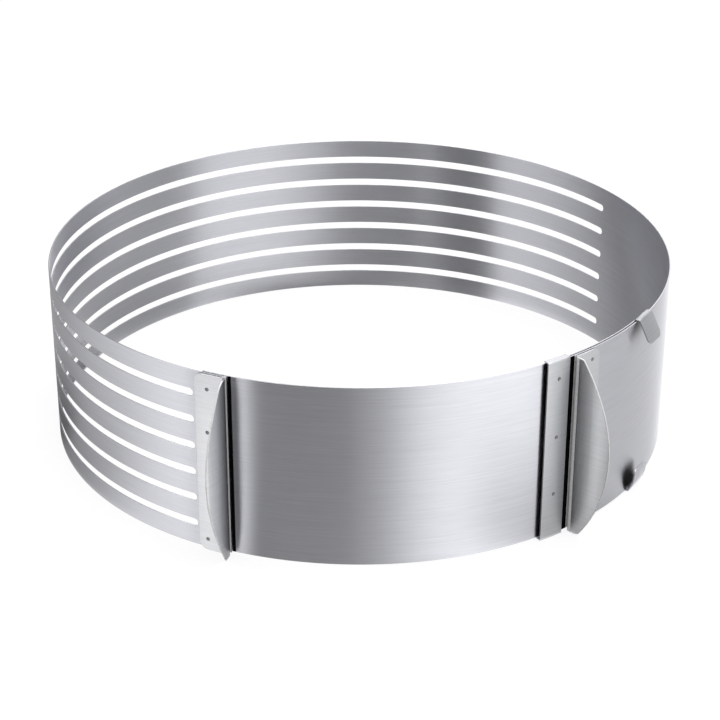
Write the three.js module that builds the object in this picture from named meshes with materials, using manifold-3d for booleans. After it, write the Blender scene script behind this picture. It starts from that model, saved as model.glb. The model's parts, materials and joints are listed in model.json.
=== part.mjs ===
// An adjustable cake slicing ring of brushed stainless sheet, in millimetres, +Z up.
// A slotted band and a plain band lie one inside the other. Their left ends are welded together under the
// left handle, and at the right the plain band slides inside the slotted one, so the ring's diameter changes.
// Both bands bend as they slide. Each is built as a chain of short stiff links, and the seam between two links
// is the upright line about which the sheet bends there.
// Directions round the ring are azimuths: 0 faces -Y, the front, and they grow towards +X, the right.

import * as THREE from "three";
import { mergeVertices } from "three/addons/utils/BufferGeometryUtils.js";
import Module from "manifold-3d";

const wasm = await Module();
wasm.setup();

// Driving dimensions: the two bands
const RING_DIAMETER = 292; // over the slotted band
const BAND_HEIGHT = 85;
const BAND_SHEET = 0.6;
const BAND_CLEARANCE = 0.6; // between the two bands, so that one slides in the other
const EDGE_CLEARANCE = 0.3; // between a band's edge and what is folded over it
const WELD_GAP = 0.3; // between two sheets that are welded flat together
const SEAM = 0.3; // between two links of one band

// Driving dimensions: the knife slots
const SLOT_HEIGHT = 3;
const SLOT_PITCH = 12.7;
const RAIL_LEAST = 8; // least sheet left above the top slot and below the bottom one
const SLOT_RIGHT_END = 121.4; // azimuth
const SLOT_TO_FLANGE = 2.3; // from the slots' left ends to the left handle's flange

// Driving dimensions: where the two bands end, and their links
const SLOTTED_END_INSET = 0.8; // the slotted band's ends lie this far inside the fold and the strip
const PLAIN_LAP = 13; // the plain band's left end under the left flange
const TAB_MARGIN = 1; // from the tabs to the plain band's right end
const COMB_TEETH = 45; // length of the slots' ends in the two combs
const COMB_BACK = 12; // unslotted sheet of the right comb
const BAR_LINKS = 4;
const PLATE_LINKS = 5;
const PLAIN_LINKS = 6;

// Driving dimensions: the two handles
const LEFT_FOLD = -21.7; // azimuth
const RIGHT_FOLD = 37.8; // azimuth
const HANDLE_SHEET = 0.8;
const HANDLE_BELOW_RIM = 1; // from the band's upper edge to the handle's
const FLANGE_WIDTH = 15;
const FLANGE_CORNER = 4;
const BEND_RADIUS = 1.8;
const FLAP_REACH = 23.1; // out from the band at mid-height
const FLAP_END = 6; // out from the band at the top and bottom
const FLAP_CORNER = 2; // rounding where an end runs into the half-moon

// Driving dimensions: the guide strip
const STRIP_WIDTH = 13.2;
const STRIP_SHEET = 0.8;
const STRIP_TO_FOLD = 1.4;
const LIP_SHEET = 0.6;
const LIP_OVERHANG = 0.3; // inwards past the plain band

// Driving dimensions: the tabs of the plain band
const TAB_MIDDLE = 59; // azimuth
const TAB_WIDTH = 12.8;
const TAB_LENGTH = 12;
const TAB_FLARE = 27; // degrees from upright
const TAB_STANDOFF = 0.3; // from the slotted band's outside at the fold
const TAB_ROOT = 2; // overlap with the band that the tab grows from
const TAB_CORNER = 4;

// Fineness of round stretches
const FACET = 2.5; // degrees along the bands
const ROUND_STEPS = 8; // in a quarter turn
const ARC_STEPS = 24; // along a handle's half-moon
const SKIN = 1; // how far a cutting body reaches past what it cuts

// Sizes worked out from the driving dimensions
const OUTER_RADIUS = RING_DIAMETER / 2;
const SLOTTED_INSIDE = OUTER_RADIUS - BAND_SHEET;
const PLAIN_OUTSIDE = SLOTTED_INSIDE - BAND_CLEARANCE;
const PLAIN_INSIDE = PLAIN_OUTSIDE - BAND_SHEET;
const BAND_BOTTOM = Math.max(LIP_SHEET, BAND_SHEET) + EDGE_CLEARANCE;
const BAND_TOP = BAND_BOTTOM + BAND_HEIGHT;
const BAND_MIDDLE = (BAND_BOTTOM + BAND_TOP) / 2;
const STRIP_OUTSIDE = OUTER_RADIUS + WELD_GAP + STRIP_SHEET;
const HANDLE_TOP = BAND_TOP - HANDLE_BELOW_RIM;
const FULL_TURN = 360;

const arcDegrees = (length) => THREE.MathUtils.radToDeg(length / OUTER_RADIUS);

const FLANGE_EDGE = LEFT_FOLD - arcDegrees(FLANGE_WIDTH);
const SLOT_LEFT_END = FULL_TURN + FLANGE_EDGE - arcDegrees(SLOT_TO_FLANGE);
const STRIP_RIGHT = RIGHT_FOLD - arcDegrees(STRIP_TO_FOLD);
const STRIP_LEFT = STRIP_RIGHT - arcDegrees(STRIP_WIDTH);
const SLOTTED_LEFT_END = FULL_TURN + LEFT_FOLD - arcDegrees(SLOTTED_END_INSET);
const SLOTTED_RIGHT_END = STRIP_LEFT + arcDegrees(SLOTTED_END_INSET);
const LEFT_COMB_END = SLOT_LEFT_END - arcDegrees(COMB_TEETH);
const RIGHT_COMB_START = SLOT_RIGHT_END + arcDegrees(COMB_TEETH);
const RIGHT_COMB_END = SLOT_RIGHT_END - arcDegrees(COMB_BACK);
const PLAIN_LEFT_END = LEFT_FOLD - arcDegrees(PLAIN_LAP);
const PLAIN_RIGHT_END = TAB_MIDDLE + arcDegrees(TAB_WIDTH / 2 + TAB_MARGIN);

const SLOT_GAPS = Math.floor((BAND_HEIGHT - 2 * RAIL_LEAST - SLOT_HEIGHT) / SLOT_PITCH);
const SLOT_MIDDLES = Array.from(
  { length: SLOT_GAPS + 1 },
  (_, i) => BAND_MIDDLE + (i - SLOT_GAPS / 2) * SLOT_PITCH,
);

// Directions at an azimuth
function outward(azimuth) {
  const a = THREE.MathUtils.degToRad(azimuth);
  return new THREE.Vector3(Math.sin(a), -Math.cos(a), 0);
}

function along(azimuth) {
  const a = THREE.MathUtils.degToRad(azimuth);
  return new THREE.Vector3(Math.cos(a), Math.sin(a), 0);
}

const UP = new THREE.Vector3(0, 0, 1);

// Frame of a profile drawn outwards and upwards; its depth runs against the azimuth.
function profileFrame(azimuth) {
  const out = outward(azimuth);
  const frame = new THREE.Matrix4().makeBasis(out, UP, along(azimuth).negate());
  return frame.setPosition(out.multiplyScalar(OUTER_RADIUS));
}

// Frame of an outline drawn along the band and upwards; its depth runs outwards.
function outlineFrame(azimuth) {
  const out = outward(azimuth);
  const frame = new THREE.Matrix4().makeBasis(along(azimuth), UP, out);
  return frame.setPosition(out.clone().multiplyScalar(OUTER_RADIUS));
}

function quarterArc(x, y, radius, startDegrees, sweepDegrees) {
  return Array.from({ length: ROUND_STEPS + 1 }, (_, i) => {
    const a = THREE.MathUtils.degToRad(startDegrees + (sweepDegrees * i) / ROUND_STEPS);
    return new THREE.Vector2(x + radius * Math.cos(a), y + radius * Math.sin(a));
  });
}

function extruded(points, depth) {
  return new THREE.ExtrudeGeometry(new THREE.Shape(points), { depth, bevelEnabled: false });
}

// A curved strip of sheet: an arc of the ring between two radii, two azimuths and two heights
function curvedSheet(inside, outside, from, to, bottom, top) {
  const steps = Math.max(1, Math.ceil((to - from) / FACET));
  const arc = (radius) =>
    Array.from({ length: steps + 1 }, (_, i) => {
      const p = outward(from + ((to - from) * i) / steps).multiplyScalar(radius);
      return new THREE.Vector2(p.x, p.y);
    });
  const points = [...arc(outside), ...arc(inside).reverse()];
  return extruded(points, top - bottom).translate(0, 0, bottom);
}

// Solids for joining and cutting
function solid(geometry) {
  const bare = geometry.clone();
  bare.deleteAttribute("normal");
  bare.deleteAttribute("uv");
  const merged = mergeVertices(bare);
  return new wasm.Manifold(
    new wasm.Mesh({
      numProp: 3,
      vertProperties: new Float32Array(merged.attributes.position.array),
      triVerts: new Uint32Array(merged.index.array),
    }),
  );
}

function surface(body) {
  const mesh = body.getMesh();
  const geometry = new THREE.BufferGeometry();
  geometry.setAttribute("position", new THREE.BufferAttribute(mesh.vertProperties, 3));
  geometry.setIndex(new THREE.BufferAttribute(mesh.triVerts, 1));
  geometry.computeVertexNormals();
  return geometry;
}

// Named meshes, each with its own finish
const ring = new THREE.Group();

function steel(colour, roughness) {
  return new THREE.MeshStandardMaterial({ color: colour, roughness, metalness: 1 });
}

function addPiece(name, geometry, material) {
  const mesh = new THREE.Mesh(geometry, material);
  mesh.name = name;
  ring.add(mesh);
}

const bandSteel = () => steel(0xb8b7bc, 0.34);
const plainSteel = () => steel(0xc4c3c8, 0.3);
const handleSteel = () => steel(0xbdbbb8, 0.32);

// The stretch of a link between two seams, or from a seam to a free end
function linkSpans(start, end, count) {
  const seam = arcDegrees(SEAM / 2);
  const step = (end - start) / count;
  return Array.from({ length: count }, (_, i) => {
    const a = start + step * i;
    const b = a + step;
    return [Math.min(a, b) + seam, Math.max(a, b) - seam];
  });
}

// Slotted band: two combs that hold the slots' round ends, the bars between the slots, and the bare plates
function slotCutter(from, to, roundAt, middle) {
  const radius = SLOT_HEIGHT / 2;
  const inside = SLOTTED_INSIDE - SKIN;
  const outside = OUTER_RADIUS + SKIN;
  const straight = curvedSheet(inside, outside, from, to, middle - radius, middle + radius);
  const round = new THREE.CylinderGeometry(radius, radius, outside - inside, 2 * ROUND_STEPS);
  round.rotateX(Math.PI / 2);
  round.translate(0, middle, (inside - OUTER_RADIUS + SKIN) / 2);
  round.applyMatrix4(outlineFrame(roundAt));
  return solid(straight).add(solid(round));
}

function comb(from, to, slotFrom, slotTo, roundAt) {
  const sheet = curvedSheet(SLOTTED_INSIDE, OUTER_RADIUS, from, to, BAND_BOTTOM, BAND_TOP);
  const cutters = SLOT_MIDDLES.map((middle) => slotCutter(slotFrom, slotTo, roundAt, middle));
  return surface(cutters.reduce((body, cutter) => body.subtract(cutter), solid(sheet)));
}

function addSlottedBand() {
  const seam = arcDegrees(SEAM / 2);
  const past = arcDegrees(SKIN);
  const round = arcDegrees(SLOT_HEIGHT / 2);
  const leftRound = SLOT_LEFT_END - round;
  const leftComb = comb(LEFT_COMB_END + seam, SLOTTED_LEFT_END, LEFT_COMB_END - past, leftRound, leftRound);
  addPiece("slotted_band_left_comb", leftComb, bandSteel());

  const bottoms = [BAND_BOTTOM, ...SLOT_MIDDLES.map((middle) => middle + SLOT_HEIGHT / 2)];
  const tops = [...SLOT_MIDDLES.map((middle) => middle - SLOT_HEIGHT / 2), BAND_TOP];
  linkSpans(LEFT_COMB_END, RIGHT_COMB_START, BAR_LINKS).forEach(([from, to], link) => {
    bottoms.forEach((bottom, bar) => {
      const sheet = curvedSheet(SLOTTED_INSIDE, OUTER_RADIUS, from, to, bottom, tops[bar]);
      addPiece(`slotted_band_${link + 1}_bar_${bar + 1}`, sheet, bandSteel());
    });
  });

  const rightRound = SLOT_RIGHT_END + round;
  const rightFrom = RIGHT_COMB_END + seam;
  const rightTo = RIGHT_COMB_START - seam;
  const rightComb = comb(rightFrom, rightTo, rightRound, RIGHT_COMB_START + past, rightRound);
  addPiece("slotted_band_right_comb", rightComb, bandSteel());

  linkSpans(RIGHT_COMB_END, SLOTTED_RIGHT_END, PLATE_LINKS).forEach(([from, to], i) => {
    const sheet = curvedSheet(SLOTTED_INSIDE, OUTER_RADIUS, from, to, BAND_BOTTOM, BAND_TOP);
    addPiece(`slotted_band_plate_${i + 1}`, sheet, bandSteel());
  });
}

// Plain band: links of bare sheet, with a tab at the top and bottom of the last one
function tab(side) {
  const plainFace = PLAIN_OUTSIDE - OUTER_RADIUS;
  const plainBack = PLAIN_INSIDE - OUTER_RADIUS;
  const half = BAND_HEIGHT / 2;
  const under = half + EDGE_CLEARANCE;
  const over = under + BAND_SHEET;
  const flare = THREE.MathUtils.degToRad(TAB_FLARE);
  const foldX = TAB_STANDOFF + BAND_SHEET / Math.cos(flare);
  const tipX = foldX + TAB_LENGTH * Math.sin(flare);
  const tipY = over - TAB_LENGTH * Math.cos(flare);
  const innerFoldX = TAB_STANDOFF + (over - under) * Math.tan(flare);
  const profile = [
    [plainBack, half - TAB_ROOT],
    [plainFace, half - TAB_ROOT],
    [plainFace, under],
    [innerFoldX, under],
    [tipX - BAND_SHEET * Math.cos(flare), tipY - BAND_SHEET * Math.sin(flare)],
    [tipX, tipY],
    [foldX, over],
    [plainBack, over],
  ].map(([x, y]) => new THREE.Vector2(x, BAND_MIDDLE + side * y));
  const bent = extruded(profile, TAB_WIDTH).translate(0, 0, -TAB_WIDTH / 2);
  bent.applyMatrix4(profileFrame(TAB_MIDDLE));

  const edge = TAB_WIDTH / 2;
  const tipEdge = tipY - BAND_SHEET * Math.sin(flare);
  const outline = [
    new THREE.Vector2(-edge, over + SKIN),
    ...quarterArc(-edge + TAB_CORNER, tipEdge + TAB_CORNER, TAB_CORNER, 180, 90),
    ...quarterArc(edge - TAB_CORNER, tipEdge + TAB_CORNER, TAB_CORNER, 270, 90),
    new THREE.Vector2(edge, over + SKIN),
  ].map((p) => new THREE.Vector2(p.x, BAND_MIDDLE + side * p.y));
  const depth = tipX - plainBack + 2 * SKIN;
  const rounded = extruded(outline, depth).translate(0, 0, plainBack - SKIN);
  rounded.applyMatrix4(outlineFrame(TAB_MIDDLE));
  return solid(bent).intersect(solid(rounded));
}

function addPlainBand() {
  linkSpans(PLAIN_LEFT_END, PLAIN_RIGHT_END, PLAIN_LINKS).forEach(([from, to], i) => {
    const sheet = curvedSheet(PLAIN_INSIDE, PLAIN_OUTSIDE, from, to, BAND_BOTTOM, BAND_TOP);
    const last = i === PLAIN_LINKS - 1;
    const shape = last ? surface(solid(sheet).add(tab(1)).add(tab(-1))) : sheet;
    addPiece(`plain_band_link_${i + 1}`, shape, plainSteel());
  });
}

// Handles: a flange that follows the band, a round bend, and a half-moon flap that stands straight out
function handlePlan() {
  const inner = BEND_RADIUS;
  const outer = BEND_RADIUS + HANDLE_SHEET;
  const face = WELD_GAP + HANDLE_SHEET;
  const flangeSteps = Math.ceil(arcDegrees(FLANGE_WIDTH) / FACET);
  const flange = Array.from({ length: flangeSteps }, (_, i) => {
    return FLANGE_WIDTH - ((FLANGE_WIDTH - outer) * i) / flangeSteps;
  });
  return [
    ...flange.map((u) => new THREE.Vector2(u, WELD_GAP)),
    ...quarterArc(outer, WELD_GAP + outer, outer, 270, -90),
    new THREE.Vector2(0, FLAP_REACH + SKIN),
    new THREE.Vector2(HANDLE_SHEET, FLAP_REACH + SKIN),
    ...quarterArc(outer, WELD_GAP + outer, inner, 180, 90),
    ...flange.map((u) => new THREE.Vector2(u, face)).reverse(),
  ];
}

// The half-moon: two short straight ends and one arc, with round corners, drawn outwards and upwards
function halfMoon(bottom, top) {
  const half = (top - bottom) / 2;
  const rise = FLAP_REACH - FLAP_END;
  const radius = (half * half + rise * rise) / (2 * rise);
  const spread = Math.asin(half / radius) - FLAP_CORNER / radius;
  const arc = Array.from({ length: ARC_STEPS + 1 }, (_, i) => {
    const a = -spread + (2 * spread * i) / ARC_STEPS;
    const x = FLAP_REACH - radius + radius * Math.cos(a);
    return new THREE.Vector2(x, bottom + half + radius * Math.sin(a));
  });
  const corner = (height, end) => {
    const start = new THREE.Vector2(FLAP_END - FLAP_CORNER, height);
    const point = new THREE.Vector2(FLAP_END, height);
    return new THREE.QuadraticBezierCurve(start, point, end).getPoints(ROUND_STEPS);
  };
  const back = -FLANGE_WIDTH;
  return [
    new THREE.Vector2(back, bottom),
    ...corner(bottom, arc[0]),
    ...arc.slice(1, -1),
    ...corner(top, arc.at(-1)).reverse(),
    new THREE.Vector2(back, top),
  ];
}

// The flange's free edge with its two round corners, drawn along the band and upwards
function flangeOutline(side, bottom, top) {
  const edge = OUTER_RADIUS * Math.sin(FLANGE_WIDTH / OUTER_RADIUS);
  return [
    new THREE.Vector2(-SKIN, bottom),
    ...quarterArc(edge - FLANGE_CORNER, bottom + FLANGE_CORNER, FLANGE_CORNER, 270, 90),
    ...quarterArc(edge - FLANGE_CORNER, top - FLANGE_CORNER, FLANGE_CORNER, 0, 90),
    new THREE.Vector2(-SKIN, top),
  ].map((p) => new THREE.Vector2(side * p.x, p.y));
}

// side is 1 where the flange runs to higher azimuths from the fold, and -1 where it runs to lower ones
function addHandle(name, fold, side) {
  const bottom = BAND_BOTTOM;
  const top = HANDLE_TOP;
  const out = outward(fold);
  const tangent = along(fold).multiplyScalar(side);
  const plan = handlePlan().map(({ x: u, y: v }) => {
    const turn = u / OUTER_RADIUS;
    const across = OUTER_RADIUS * Math.sin(turn);
    const away = v + OUTER_RADIUS * Math.cos(turn);
    return new THREE.Vector2(out.x * away + tangent.x * across, out.y * away + tangent.y * across);
  });
  const bent = extruded(plan, top - bottom + 2 * SKIN).translate(0, 0, bottom - SKIN);

  const width = 2 * (FLANGE_WIDTH + SKIN);
  const moon = extruded(halfMoon(bottom, top), width).translate(0, 0, -width / 2);
  moon.applyMatrix4(profileFrame(fold));

  const depth = FLANGE_WIDTH + FLAP_REACH + 2 * SKIN;
  const outline = extruded(flangeOutline(side, bottom, top), depth).translate(0, 0, -FLANGE_WIDTH);
  outline.applyMatrix4(outlineFrame(fold));

  addPiece(name, surface(solid(bent).intersect(solid(moon)).intersect(solid(outline))), handleSteel());
}

// Guide strip: an upright face with a lip folded inwards over both edges of the bands
function addGuideStrip() {
  const inside = PLAIN_INSIDE - LIP_OVERHANG;
  const bottom = BAND_BOTTOM - EDGE_CLEARANCE - LIP_SHEET;
  const top = BAND_TOP + EDGE_CLEARANCE + LIP_SHEET;
  const sheet = (from, low, high) => solid(curvedSheet(from, STRIP_OUTSIDE, STRIP_LEFT, STRIP_RIGHT, low, high));
  const face = sheet(OUTER_RADIUS + WELD_GAP, bottom, top);
  const topLip = sheet(inside, top - LIP_SHEET, top);
  const bottomLip = sheet(inside, bottom, bottom + LIP_SHEET);
  addPiece("guide_strip", surface(face.add(topLip).add(bottomLip)), handleSteel());
}

addSlottedBand();
addPlainBand();
addHandle("left_handle", LEFT_FOLD, -1);
addHandle("right_handle", RIGHT_FOLD, 1);
addGuideStrip();

// The origin is the middle of the footprint, on the surface that the ring stands on.
const slicingRing = new THREE.Group();
slicingRing.add(ring);
const box = new THREE.Box3().setFromObject(ring);
const middle = box.getCenter(new THREE.Vector3());
ring.position.set(-middle.x, -middle.y, -box.min.z);

export default slicingRing;
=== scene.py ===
"""An adjustable cake slicing ring of brushed stainless sheet.

Each piece is cut as a flat sheet, given its slots, welds and eased edges, and then rolled and folded.
On a flat sheet X runs along the band, Z runs up it, and +Y points to the inside of the ring.
Directions round the ring are azimuths in degrees: 0 faces -Y, the front, and they grow towards +X, the right.
"""
import json
import math

import bpy
from mathutils import Matrix, Vector


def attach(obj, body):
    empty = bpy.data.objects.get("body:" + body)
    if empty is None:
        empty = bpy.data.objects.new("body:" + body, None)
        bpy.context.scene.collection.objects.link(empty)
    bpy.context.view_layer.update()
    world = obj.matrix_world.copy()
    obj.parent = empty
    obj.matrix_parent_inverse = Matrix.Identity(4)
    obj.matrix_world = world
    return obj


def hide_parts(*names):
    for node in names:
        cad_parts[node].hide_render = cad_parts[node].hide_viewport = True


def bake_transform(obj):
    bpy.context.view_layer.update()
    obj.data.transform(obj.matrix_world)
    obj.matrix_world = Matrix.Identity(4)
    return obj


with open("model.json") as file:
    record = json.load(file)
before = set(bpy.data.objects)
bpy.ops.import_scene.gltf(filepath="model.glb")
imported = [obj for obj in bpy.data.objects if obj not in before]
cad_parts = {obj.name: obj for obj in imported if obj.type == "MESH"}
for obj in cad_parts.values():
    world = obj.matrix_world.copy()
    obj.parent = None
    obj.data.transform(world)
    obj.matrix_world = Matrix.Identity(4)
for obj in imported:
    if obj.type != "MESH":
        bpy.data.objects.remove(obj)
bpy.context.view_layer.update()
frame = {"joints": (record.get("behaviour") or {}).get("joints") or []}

# Sizes in metres
MM = 0.001
NEAR = 0.01 * MM
RING_AXIS = Vector((0.00036 * MM, 5.55901 * MM, 0.0))
OUTER_RADIUS = 146.0 * MM
PLAIN_RADIUS = 144.8 * MM
BAND_SHEET = 0.6 * MM
BAND_BOTTOM = 0.9 * MM
BAND_TOP = 85.9 * MM
BAND_MIDDLE = (BAND_BOTTOM + BAND_TOP) / 2
COLUMN = 2.5 * MM
STEP_SLACK = 0.001
EDGE_EASE = 0.12 * MM
EASE_STEPS = 2
EASE_ANGLE = math.radians(50)
SMOOTH_ANGLE = math.radians(35)
AREA_WEIGHT = 100
BEND_STEPS = 4

# The slotted band, by azimuth, and its knife slots
SLOTTED_LEFT_END = 337.9
SLOTTED_RIGHT_END = 32.9
SLOTTED_HINGES = 10
BARRED_LENGTHS = 4
SLOT_LEFT_END = 331.51
SLOT_RIGHT_END = 121.4
SLOT_HEIGHT = 3.5 * MM
SLOT_PITCH = 12.7 * MM
SLOT_ROUNDING = 0.999 * SLOT_HEIGHT / 2
SLOT_END_STEPS = 8
SLOTS = 6

# The plain band, by azimuth, and its tabs: 1 is the upper tab and -1 the lower one, and their finishes count
# along the plain band's own; the upper tab's finish is a darker copy of the band's steel, which paints shade
# on it
PLAIN_LEFT_END = -26.802
PLAIN_RIGHT_END = 61.904
PLAIN_HINGES = 5
TAB_MIDDLE = 59.0
TAB_WIDTH = 12.8 * MM
TAB_LIFT = 0.6 * MM
TAB_REACH = 2.3 * MM
TAB_FOLD = 0.5 * MM
TAB_STEP = 2.95 * MM
TAB_CORNER = 0.98 * TAB_STEP
TAB_CORNER_STEPS = 6
TAB_SLOPES = {1: (29.0, 28.0, 27.0, 26.0), -1: (28.0, 18.0, 7.0, -3.0)}
TAB_FINISHES = {1: 2, -1: 0}

# The handles: a weld is given by its distance from the fold and its height, in millimetres, and the line of
# painted highlight along the fold by shares of the fold's length
LEFT_FOLD = -22.1
RIGHT_FOLD = 38.5
HANDLE_TOP = 85.7 * MM
HANDLE_BOTTOM = 0.1 * MM
HANDLE_SHEET = 0.8 * MM
HANDLE_EASE = 0.25 * MM
HANDLE_EASE_STEPS = 3
WELD_GAP = 0.3 * MM
FLANGE_WIDTH = 15.0 * MM
FLANGE_CORNER = 4.0 * MM
FLANGE_CORNER_STEPS = 8
FLANGE_STEPS = 5
FOLD_RADIUS = 1.6 * MM
FOLD_STEPS = 16
FLAP_CORNER = 3.0 * MM
FLAP_CORNER_STEPS = 6
CURL_STEPS = 12
MOON_STEPS = 120
LEFT_MOON = {
    "reach": 17.6 * MM, "radius": 86.0 * MM, "middle": 43.2 * MM, "curl": 26.0 * MM, "lean": 10.0,
    "line": (0.0, 0.0), "welds": ((10.7, 4.8), (9.0, 24.0), (9.2, 57.5), (8.7, 78.0)),
}
RIGHT_MOON = {
    "reach": 20.9 * MM, "radius": 69.0 * MM, "middle": 42.0 * MM, "curl": 88.0 * MM, "lean": -2.0,
    "line": (0.45, 1.45), "welds": ((10.2, 4.8), (9.0, 24.0), (9.0, 57.5), (10.2, 80.3)),
}

# The guide strip, with its left and right edges by azimuth
STRIP_LEFT = 32.6
STRIP_RIGHT = 37.25
STRIP_SHEET = 0.8 * MM
STRIP_HEIGHT = 86.8 * MM
LIP_SHEET = 0.6 * MM
LIP_REACH = 2.4 * MM
LIP_FOLD = 0.5 * MM
STRIP_WELD_AZIMUTH = 35.0
STRIP_WELDS = (21.0 * MM, 49.0 * MM, 77.0 * MM)

# Painted shade in the grooves beside the folds, and painted highlights on the band beside them, by azimuth
LEFT_GROOVE = (-22.1, -21.5)
RIGHT_GROOVE = (37.2, 38.6)
LEFT_PAINTED_HIGHLIGHT = (-22.9, -22.05)
RIGHT_PAINTED_HIGHLIGHT = (38.6, 39.3)

# Spot welds are shallow round dents
WELD_RADIUS = 0.9 * MM
WELD_DEPTH = 0.22 * MM
WELD_SKIN = 0.001 * MM
WELD_BALL = {"segments": 96, "ring_count": 64}

# How squarely a face has to look in a direction, as the cosine of the angle between them
ON_THE_ROUND = 0.995
FACING = 0.9
EDGEWAYS = 0.8
HALF_FACING = 0.5


def arc(azimuth, radius):
    return math.radians(azimuth) * radius


# Handling of a piece on the bench
def take_up(piece):
    bpy.ops.object.select_all(action="DESELECT")
    piece.select_set(True)
    bpy.context.view_layer.objects.active = piece


def named(name):
    piece = bpy.context.object
    piece.name = name
    piece.data.name = name
    return piece


def settle(piece):
    take_up(piece)
    bpy.ops.object.transform_apply(location=True, rotation=True, scale=True)


def block(name, low, high):
    bpy.ops.object.select_all(action="DESELECT")
    middle = [(a + b) / 2 for a, b in zip(low, high)]
    bpy.ops.mesh.primitive_cube_add(size=1, location=middle, calc_uvs=False)
    piece = named(name)
    piece.scale = [b - a for a, b in zip(low, high)]
    settle(piece)
    return piece


def copy_of(piece, name):
    twin = piece.copy()
    twin.data = piece.data.copy()
    twin.name = name
    twin.data.name = name
    bpy.context.collection.objects.link(twin)
    return twin


def pick(piece, faces=None, edges=None, points=None):
    """Selects, in edit mode, the faces, edges or points that a test holds for."""
    mode = "FACE" if faces else "EDGE" if edges else "VERT"
    take_up(piece)
    bpy.ops.object.mode_set(mode="EDIT")
    bpy.ops.mesh.select_mode(type=mode)
    bpy.ops.mesh.select_all(action="DESELECT")
    bpy.ops.object.mode_set(mode="OBJECT")
    mesh = piece.data
    for face in mesh.polygons if faces else ():
        face.select = faces(face)
    for edge in mesh.edges if edges else ():
        ends = [mesh.vertices[i].co for i in edge.vertices]
        edge.select = edges(*ends)
    for point in mesh.vertices if points else ():
        point.select = points(point.co)
    bpy.ops.object.mode_set(mode="EDIT")


def put_down():
    bpy.ops.object.mode_set(mode="OBJECT")


def cut_across(piece, places, direction=(1, 0, 0)):
    """Cuts the sheet at these places along a direction, so that it can bend or be worked there."""
    take_up(piece)
    bpy.ops.object.mode_set(mode="EDIT")
    for place in places:
        bpy.ops.mesh.select_all(action="SELECT")
        bpy.ops.mesh.bisect(plane_co=Vector(direction) * place, plane_no=direction)
    put_down()


def trim(piece, place, direction, fill=True):
    """Cuts off all that lies past a place along a direction."""
    take_up(piece)
    bpy.ops.object.mode_set(mode="EDIT")
    bpy.ops.mesh.select_all(action="SELECT")
    far = Vector(direction) * place
    bpy.ops.mesh.bisect(plane_co=far, plane_no=direction, use_fill=fill, clear_outer=True)
    put_down()


def apply(piece, modifier):
    take_up(piece)
    bpy.ops.object.modifier_apply(modifier=modifier.name)


def cut_out(piece, cutters):
    for cutter in cutters:
        cut = piece.modifiers.new("cut", "BOOLEAN")
        cut.operation = "DIFFERENCE"
        cut.solver = "EXACT"
        cut.object = cutter
        apply(piece, cut)
        bpy.data.objects.remove(cutter)


def ease_edges(piece, width=EDGE_EASE, steps=EASE_STEPS):
    ease = piece.modifiers.new("ease", "BEVEL")
    ease.width = width
    ease.segments = steps
    ease.limit_method = "ANGLE"
    ease.angle_limit = EASE_ANGLE
    ease.use_clamp_overlap = False
    apply(piece, ease)


def lay_grain(piece):
    """A map in metres along the flat sheet and up it, so that the grain follows the sheet round its bends."""
    mesh = piece.data
    layer = mesh.uv_layers.new(name=GRAIN_MAP)
    for face in mesh.polygons:
        facing = max(range(3), key=lambda i: abs(face.normal[i]))
        along, up = ((1, 2), (0, 2), (0, 1))[facing]
        for corner in face.loop_indices:
            place = mesh.vertices[mesh.loops[corner].vertex_index].co
            layer.data[corner].uv = (place[along], place[up])


def roll(piece, radius, start=None, end=None):
    """Rolls the sheet between two places along it, about an upright line on its +Y side."""
    lengths = [v.co.x for v in piece.data.vertices]
    low, high = min(lengths), max(lengths)
    start = low if start is None else start
    end = high if end is None else end
    bend = piece.modifiers.new("roll", "SIMPLE_DEFORM")
    bend.deform_method = "BEND"
    bend.deform_axis = "Z"
    bend.limits = ((start - low) / (high - low), (end - low) / (high - low))
    bend.angle = (end - start) / radius
    apply(piece, bend)


def set_on_ring(piece, radius, azimuth=0.0):
    """Moves a rolled piece, whose +Y side faces the ring's axis, to its place on the ring."""
    turn = Matrix.Rotation(math.radians(azimuth), 4, "Z")
    piece.data.transform(Matrix.Translation(RING_AXIS) @ turn @ Matrix.Translation((0, -radius, 0)))
    piece.data.update()


def smooth(piece):
    take_up(piece)
    bpy.ops.object.shade_smooth_by_angle(angle=SMOOTH_ANGLE)


def smooth_by_area(piece):
    """Shades the large faces true, so that a weld's dent stays a small mark in them."""
    smooth(piece)
    shading = piece.modifiers.new("shading", "WEIGHTED_NORMAL")
    shading.mode = "FACE_AREA"
    shading.weight = AREA_WEIGHT
    shading.keep_sharp = True
    apply(piece, shading)


def true_round(piece):
    """Gives the round faces the ring's own normals, so that a joint between two lengths doesn't show."""
    mesh = piece.data
    normals = [corner.vector.copy() for corner in mesh.corner_normals]
    for face in mesh.polygons:
        out = face.center - RING_AXIS
        out.z = 0
        out.normalize()
        facing = face.normal.dot(out)
        if abs(facing) < ON_THE_ROUND:
            continue
        for corner in face.loop_indices:
            place = mesh.vertices[mesh.loops[corner].vertex_index].co - RING_AXIS
            place.z = 0
            normals[corner] = place.normalized() * math.copysign(1, facing)
    mesh.normals_split_custom_set(normals)


def weld_dent(along, height, face):
    """A ball that presses a spot weld into the outer face of a flat sheet."""
    radius = (WELD_RADIUS ** 2 + WELD_DEPTH ** 2) / (2 * WELD_DEPTH)
    bpy.ops.object.select_all(action="DESELECT")
    centre = (along, face - radius + WELD_DEPTH, height)
    bpy.ops.mesh.primitive_uv_sphere_add(radius=radius, location=centre, **WELD_BALL)
    ball = named("weld_dent")
    settle(ball)
    return ball


def even_cuts(knots, step):
    """Places between these knots, evenly spread and at most a step apart, with the knots between the ends."""
    knots = sorted(knots)
    places = []
    for a, b in zip(knots, knots[1:]):
        count = max(1, math.ceil((b - a) / step - STEP_SLACK))
        places += [a + (b - a) * i / count for i in range(count)]
    return places[1:]


# Joints of the frame
def joint_named(name):
    return next(joint for joint in frame["joints"] if joint["name"] == name)


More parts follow.
